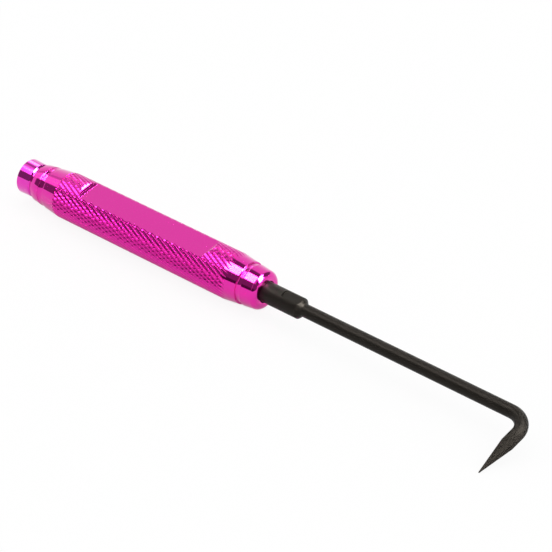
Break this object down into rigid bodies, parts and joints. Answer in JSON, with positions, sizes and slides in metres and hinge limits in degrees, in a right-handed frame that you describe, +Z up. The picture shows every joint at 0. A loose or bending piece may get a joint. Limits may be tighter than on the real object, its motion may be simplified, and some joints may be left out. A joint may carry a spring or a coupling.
{
  "type": "angled pick",
  "caption": "Hand pick with a round knurled handle that has a long milled flat, a thin black steel shaft and a hook bent at a right angle to a long conical point.",
  "frame": {"origin": "middle of the base of the box round the whole tool as it lies at rest", "axes": "+X along the axis of the handle towards the hook; +Z up from the surface that the tool lies on; the hook points to -Y and down, and its point touches that surface"},
  "size_m": [0.1682, 0.0266, 0.013],
  "materials": {
    "handle_anodised": "magenta anodised, satin, knurled barrel and matt milled flat",
    "pick_black_steel": "black oxide, satin",
    "cap_anodised": "lilac-pink anodised, polished"
  },
  "bodies": {
    "root": {"handle": "handle_anodised", "pick": "pick_black_steel", "end_cap": "cap_anodised"}
  },
  "joints": []
}
